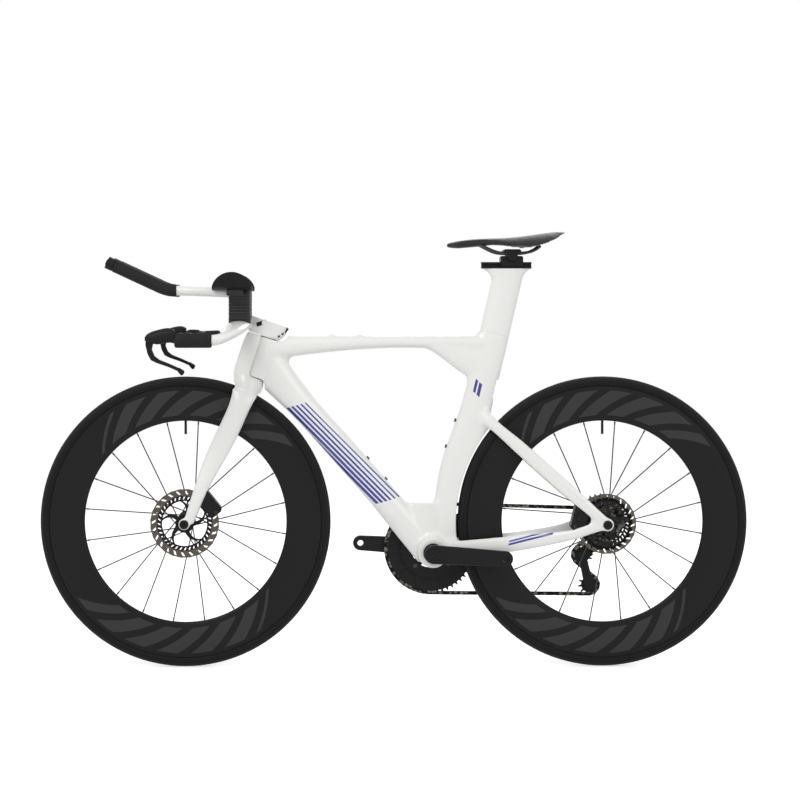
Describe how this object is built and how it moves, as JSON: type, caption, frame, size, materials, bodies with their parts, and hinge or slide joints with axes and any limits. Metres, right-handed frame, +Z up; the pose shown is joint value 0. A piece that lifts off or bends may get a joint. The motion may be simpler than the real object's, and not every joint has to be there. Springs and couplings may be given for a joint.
{
  "type": "time trial bike",
  "caption": "Aerodynamic time trial bicycle: deep rims, wing base bar with raised extensions, padded armrests, disc brakes, chain drive and a sliding, tilting saddle.",
  "frame": {"origin": "on the ground, midway between the two axles, in the bicycle's middle plane", "axes": "+X to the rear, +Y to the right (chain side), +Z up; the bicycle faces -X"},
  "size_m": [1.648, 0.4214, 1.015],
  "materials": {
    "black_alloy": "black anodised",
    "black_plastic": "matt moulding",
    "brake_lining": "sintered",
    "bright_steel": "brushed",
    "dark_steel": "dark finish",
    "grip_rubber": "matt wrap",
    "pad_foam": "soft foam with a cloth face",
    "rim_carbon": "satin carbon fibre",
    "saddle_cover": "smooth cover over foam",
    "tyre_rubber": "matt rubber",
    "white_paint": "gloss paint on moulded carbon fibre"
  },
  "bodies": {
    "frame": {"frame_main": "white_paint", "rear_stays": "white_paint", "bottom_bracket_cups": "black_alloy", "headset_bearings": "black_alloy", "rear_caliper": "black_alloy", "front_derailleur_body": "black_alloy", "rear_thru_axle": "black_alloy", "bottle_bolts": "dark_steel", "chain": "bright_steel", "derailleur_mount": "black_alloy"},
    "post": {"seatpost": "white_paint", "seat_track": "black_alloy"},
    "carriage": {"saddle_carriage": "black_alloy"},
    "saddle": {"saddle": "saddle_cover", "saddle_rails": "dark_steel", "saddle_clamp": "black_alloy"},
    "crankset": {"crank_arm_left": "black_alloy", "crank_arm_right": "black_alloy", "chainring_outer": "black_alloy", "chainring_inner": "black_alloy", "chainring_bolts": "dark_steel"},
    "cassette": {"sprockets": "bright_steel"},
    "rear_wheel": {"rear_tyre": "tyre_rubber", "rear_rim": "rim_carbon", "rear_spokes": "dark_steel", "rear_hub": "black_alloy", "rear_rotor": "bright_steel"},
    "steering": {"fork": "white_paint", "front_thru_axle": "black_alloy", "front_caliper": "black_alloy", "stem": "white_paint", "base_bar": "white_paint", "grip_tape": "grip_rubber", "lever_pods": "black_plastic", "risers": "black_alloy", "extensions": "white_paint", "armrest_cups": "black_plastic", "armrest_pads": "pad_foam"},
    "front_wheel": {"front_tyre": "tyre_rubber", "front_rim": "rim_carbon", "front_spokes": "dark_steel", "front_hub": "black_alloy", "front_rotor": "bright_steel"},
    "left_lever": {"brake_lever_left": "black_plastic"},
    "right_lever": {"brake_lever_right": "black_plastic"},
    "front_left_lining": {"front_pad_left": "brake_lining"},
    "front_right_lining": {"front_pad_right": "brake_lining"},
    "rear_left_lining": {"rear_pad_left": "brake_lining"},
    "rear_right_lining": {"rear_pad_right": "brake_lining"},
    "left_tip_button": {"extension_button_left": "black_plastic"},
    "right_tip_button": {"extension_button_right": "black_plastic"},
    "left_pod_button": {"pod_button_left": "black_plastic"},
    "right_pod_button": {"pod_button_right": "black_plastic"},
    "outer_link": {"derailleur_outer_link": "black_alloy"},
    "inner_link": {"derailleur_inner_link": "black_alloy"},
    "knuckle": {"derailleur_knuckle": "black_alloy"},
    "cage": {"derailleur_cage": "black_alloy"},
    "guide_wheel": {"guide_pulley": "black_plastic"},
    "tension_wheel": {"tension_pulley": "black_plastic"},
    "front_changer": {"front_derailleur_cage": "dark_steel"}
  },
  "joints": [
    {"name": "steering_turn", "type": "hinge", "parent": "frame", "child": "steering", "pos_m": [-0.43858, 0, 0.32213], "axis": [0.3173, 0, 0.9483], "range_deg": [-30, 30]},
    {"name": "front_wheel_spin", "type": "hinge", "parent": "steering", "child": "front_wheel", "pos_m": [-0.486, 0, 0.338], "axis": [0, 1, 0], "continuous": true},
    {"name": "rear_wheel_spin", "type": "hinge", "parent": "frame", "child": "rear_wheel", "pos_m": [0.486, 0, 0.338], "axis": [0, 1, 0], "continuous": true},
    {"name": "crank_spin", "type": "hinge", "parent": "frame", "child": "crankset", "pos_m": [0.088, 0, 0.269], "axis": [0, 1, 0], "continuous": true, "deforming": ["chain"]},
    {"name": "cassette_spin", "type": "hinge", "parent": "frame", "child": "cassette", "pos_m": [0.486, 0, 0.338], "axis": [0, 1, 0], "continuous": true},
    {"name": "guide_pulley_spin", "type": "hinge", "parent": "cage", "child": "guide_wheel", "pos_m": [0.449, 0.064, 0.25], "axis": [0, 1, 0], "continuous": true},
    {"name": "tension_pulley_spin", "type": "hinge", "parent": "cage", "child": "tension_wheel", "pos_m": [0.46543, 0.064, 0.1799], "axis": [0, 1, 0], "continuous": true},
    {"name": "derailleur_shift", "type": "hinge", "parent": "frame", "child": "outer_link", "pos_m": [0.50618, 0.07094, 0.28301], "axis": [-0.5, 0, 0.866], "range_deg": [0, 46], "deforming": ["chain"]},
    {"name": "inner_link_swing", "type": "hinge", "parent": "frame", "child": "inner_link", "pos_m": [0.50618, 0.05494, 0.28301], "axis": [-0.5, 0, 0.866], "range_deg": [0, 46]},
    {"name": "knuckle_swing", "type": "hinge", "parent": "outer_link", "child": "knuckle", "pos_m": [0.46632, 0.09048, 0.26], "axis": [-0.5, 0, 0.866], "range_deg": [-46, 0]},
    {"name": "cage_swing", "type": "hinge", "parent": "knuckle", "child": "cage", "pos_m": [0.449, 0.064, 0.25], "axis": [0, 1, 0], "range_deg": [-12, 45], "stiffness_Nm_per_rad": 0.5, "deforming": ["chain"]},
    {"name": "front_shift", "type": "slide", "parent": "frame", "child": "front_changer", "axis": [0, -1, 0], "range_m": [0, 0.0084], "deforming": ["chain"]},
    {"name": "left_brake_lever", "type": "hinge", "parent": "steering", "child": "left_lever", "pos_m": [-0.55236, -0.195, 0.76512], "axis": [0, -1, 0], "range_deg": [0, 20], "stiffness_Nm_per_rad": 1.5},
    {"name": "right_brake_lever", "type": "hinge", "parent": "steering", "child": "right_lever", "pos_m": [-0.55236, 0.195, 0.76512], "axis": [0, -1, 0], "range_deg": [0, 20], "stiffness_Nm_per_rad": 1.5},
    {"name": "front_left_lining_press", "type": "slide", "parent": "steering", "child": "front_left_lining", "axis": [0, 1, 0], "range_m": [0, 0.0004]},
    {"name": "front_right_lining_press", "type": "slide", "parent": "steering", "child": "front_right_lining", "axis": [0, -1, 0], "range_m": [0, 0.0004]},
    {"name": "rear_left_lining_press", "type": "slide", "parent": "frame", "child": "rear_left_lining", "axis": [0, 1, 0], "range_m": [0, 0.0004]},
    {"name": "rear_right_lining_press", "type": "slide", "parent": "frame", "child": "rear_right_lining", "axis": [0, -1, 0], "range_m": [0, 0.0004]},
    {"name": "left_tip_button_press", "type": "slide", "parent": "steering", "child": "left_tip_button", "axis": [0.9171, 0, -0.3987], "range_m": [0, 0.0015], "stiffness_N_per_m": 400},
    {"name": "right_tip_button_press", "type": "slide", "parent": "steering", "child": "right_tip_button", "axis": [0.9171, 0, -0.3987], "range_m": [0, 0.0015], "stiffness_N_per_m": 400},
    {"name": "left_pod_button_press", "type": "slide", "parent": "steering", "child": "left_pod_button", "axis": [0, 1, 0], "range_m": [0, 0.0015], "stiffness_N_per_m": 400},
    {"name": "right_pod_button_press", "type": "slide", "parent": "steering", "child": "right_pod_button", "axis": [0, -1, 0], "range_m": [0, 0.0015], "stiffness_N_per_m": 400},
    {"name": "seat_post_slide", "type": "slide", "parent": "frame", "child": "post", "axis": [0.2266, 0, 0.974], "range_m": [-0.02, 0.05]},
    {"name": "saddle_slide", "type": "slide", "parent": "post", "child": "carriage", "axis": [1, 0, 0], "range_m": [-0.03, 0.03]},
    {"name": "saddle_tilt", "type": "hinge", "parent": "carriage", "child": "saddle", "pos_m": [0.2731, 0, 0.95691], "axis": [0, 1, 0], "range_deg": [-8, 8]}
  ],
  "couplings": [
    {"joint": "cassette_spin", "follows": "crank_spin", "ratio": 4.7273},
    {"joint": "guide_pulley_spin", "follows": "crank_spin", "ratio": -4.7273},
    {"joint": "tension_pulley_spin", "follows": "crank_spin", "ratio": 4.7273},
    {"joint": "inner_link_swing", "follows": "derailleur_shift", "ratio": 1},
    {"joint": "knuckle_swing", "follows": "derailleur_shift", "ratio": -1},
    {"joint": "front_left_lining_press", "follows": "left_brake_lever", "m_per_rad": 0.0011459},
    {"joint": "front_right_lining_press", "follows": "left_brake_lever", "m_per_rad": 0.0011459},
    {"joint": "rear_left_lining_press", "follows": "right_brake_lever", "m_per_rad": 0.0011459},
    {"joint": "rear_right_lining_press", "follows": "right_brake_lever", "m_per_rad": 0.0011459}
  ]
}
